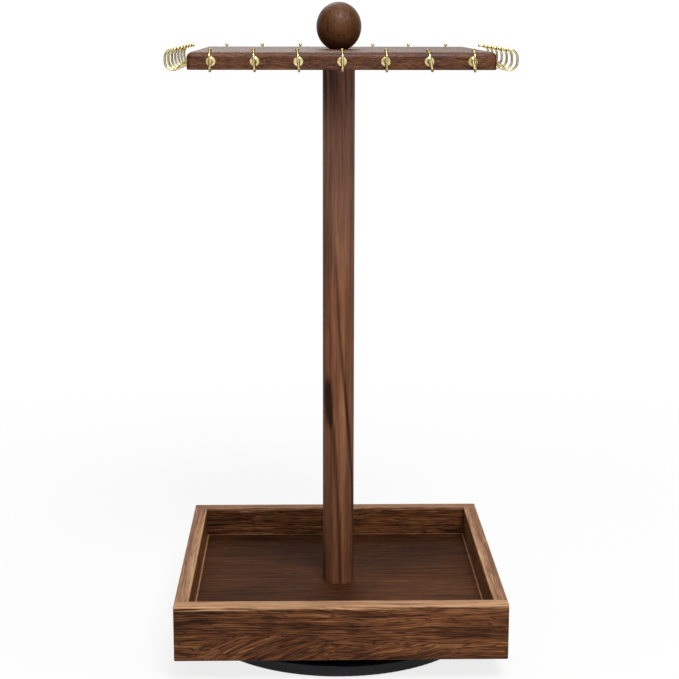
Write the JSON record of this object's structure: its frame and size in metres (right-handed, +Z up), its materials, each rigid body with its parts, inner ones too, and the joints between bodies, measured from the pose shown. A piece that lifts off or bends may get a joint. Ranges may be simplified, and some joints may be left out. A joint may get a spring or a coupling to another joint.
{
  "type": "rotating jewellery stand",
  "caption": "Rotating jewellery stand: a square open wooden tray on a round turntable base, with a post, a square board edged with brass cup hooks and a ball on top.",
  "frame": {"origin": "on the turntable's axis, at the surface that the stand rests on", "axes": "+Z up along the turntable's axis and the post; -Y is the front as pictured, +X the right of someone who faces the front"},
  "size_m": [0.2224, 0.2224, 0.4419],
  "materials": {
    "dark_wood": "dark oiled, satin",
    "brass": "bright plated",
    "black_plastic": "fine matte",
    "zinc_steel": "zinc plated",
    "ball_steel": "polished",
    "cage_plastic": "moulded",
    "pad_rubber": "matte"
  },
  "bodies": {
    "base": {"base_disc": "black_plastic", "anti_slip_pads": "pad_rubber", "bearing_lower_plate": "zinc_steel", "bearing_lower_screws": "zinc_steel"},
    "ball_ring": {"bearing_balls": "ball_steel", "bearing_cage": "cage_plastic"},
    "stand": {"bearing_upper_plate": "zinc_steel", "bearing_upper_screws": "zinc_steel", "corner_pins": "zinc_steel", "floor_pins": "zinc_steel", "post_screw": "zinc_steel", "finial_stud": "zinc_steel", "tray_front_wall": "dark_wood", "tray_back_wall": "dark_wood", "tray_left_wall": "dark_wood", "tray_right_wall": "dark_wood", "tray_floor": "dark_wood", "post": "dark_wood", "hook_board": "dark_wood", "finial_ball": "dark_wood", "hook_front_1": "brass", "hook_front_2": "brass", "hook_front_3": "brass", "hook_front_4": "brass", "hook_front_5": "brass", "hook_front_6": "brass", "hook_front_7": "brass", "hook_right_1": "brass", "hook_right_2": "brass", "hook_right_3": "brass", "hook_right_4": "brass", "hook_right_5": "brass", "hook_right_6": "brass", "hook_right_7": "brass", "hook_back_1": "brass", "hook_back_2": "brass", "hook_back_3": "brass", "hook_back_4": "brass", "hook_back_5": "brass", "hook_back_6": "brass", "hook_back_7": "brass", "hook_left_1": "brass", "hook_left_2": "brass", "hook_left_3": "brass", "hook_left_4": "brass", "hook_left_5": "brass", "hook_left_6": "brass", "hook_left_7": "brass"}
  },
  "joints": [
    {"name": "turntable_spin", "type": "hinge", "parent": "base", "child": "stand", "pos_m": [0, 0, 0.0175], "axis": [0, 0, 1], "continuous": true},
    {"name": "ball_ring_roll", "type": "hinge", "parent": "base", "child": "ball_ring", "pos_m": [0, 0, 0.01325], "axis": [0, 0, 1], "continuous": true}
  ],
  "couplings": [
    {"joint": "ball_ring_roll", "follows": "turntable_spin", "ratio": 0.5}
  ]
}
